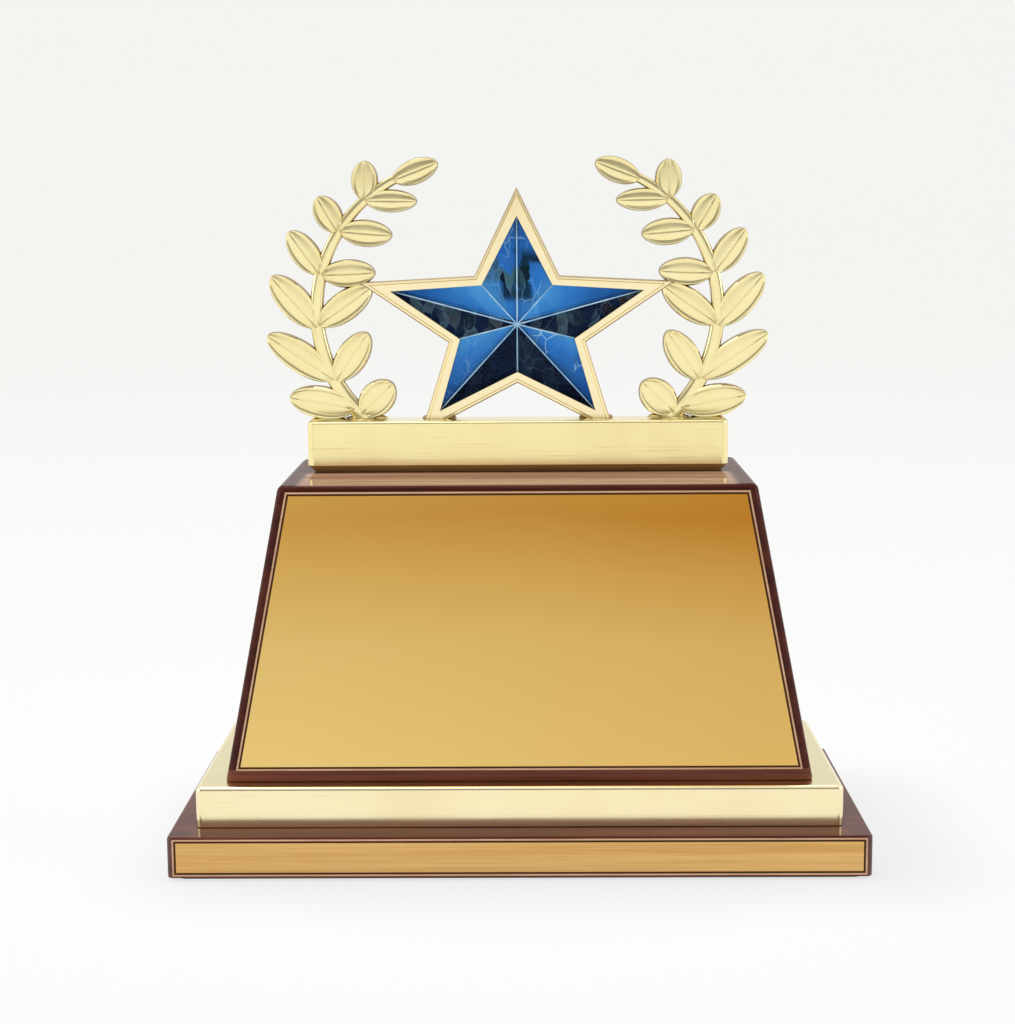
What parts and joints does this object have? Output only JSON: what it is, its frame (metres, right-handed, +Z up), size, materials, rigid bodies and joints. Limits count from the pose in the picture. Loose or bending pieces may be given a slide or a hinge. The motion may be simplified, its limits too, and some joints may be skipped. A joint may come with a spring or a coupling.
{
  "type": "star trophy",
  "caption": "Faceted blue star in a gilt frame between laurel branches, on a bar, a lacquered tapered block and a two-step base with blank plates.",
  "frame": {"origin": "centre of the footprint, on the surface the felt pad stands on", "axes": "+Z up, +X to the right seen from the front, the plaque and star face -Y"},
  "size_m": [0.2, 0.095, 0.2041],
  "materials": {
    "felt": "dark wool felt",
    "mahogany": "dark red-brown stain under thick clear gloss lacquer",
    "satin_gold": "satin brushed, clear coated",
    "pale_gold": "polished pale gilt plating",
    "tape": "matt adhesive sheet",
    "fibreboard": "raw medium-density fibreboard",
    "bare_wood": "sawn, unfinished",
    "steel": "zinc plated",
    "crystal": "cut and polished blue glass",
    "foil": "blue mirror foil"
  },
  "bodies": {
    "root": {"felt_pad": "felt", "plinth_board": "mahogany", "plinth_strip_plate": "satin_gold", "plinth_strip_tape": "tape", "step_cover": "pale_gold", "step_core": "fibreboard", "block_bottom_board": "mahogany", "block_lid": "mahogany", "block_front_board": "mahogany", "block_back_board": "mahogany", "block_left_board": "mahogany", "block_right_board": "mahogany", "front_plaque": "satin_gold", "plaque_tape": "tape", "ornament_bar": "pale_gold", "star_bezel": "pale_gold", "star_crystal": "crystal", "star_foil": "foil", "star_back_plate": "pale_gold", "laurel_right": "pale_gold", "laurel_left": "pale_gold", "glue_block_front_left": "bare_wood", "base_screw_front_left": "steel", "glue_block_front_right": "bare_wood", "base_screw_front_right": "steel", "glue_block_back_left": "bare_wood", "base_screw_back_left": "steel", "glue_block_back_right": "bare_wood", "base_screw_back_right": "steel", "ornament_bolt_left": "steel", "ornament_washer_left": "steel", "ornament_bolt_right": "steel", "ornament_washer_right": "steel"}
  },
  "joints": []
}
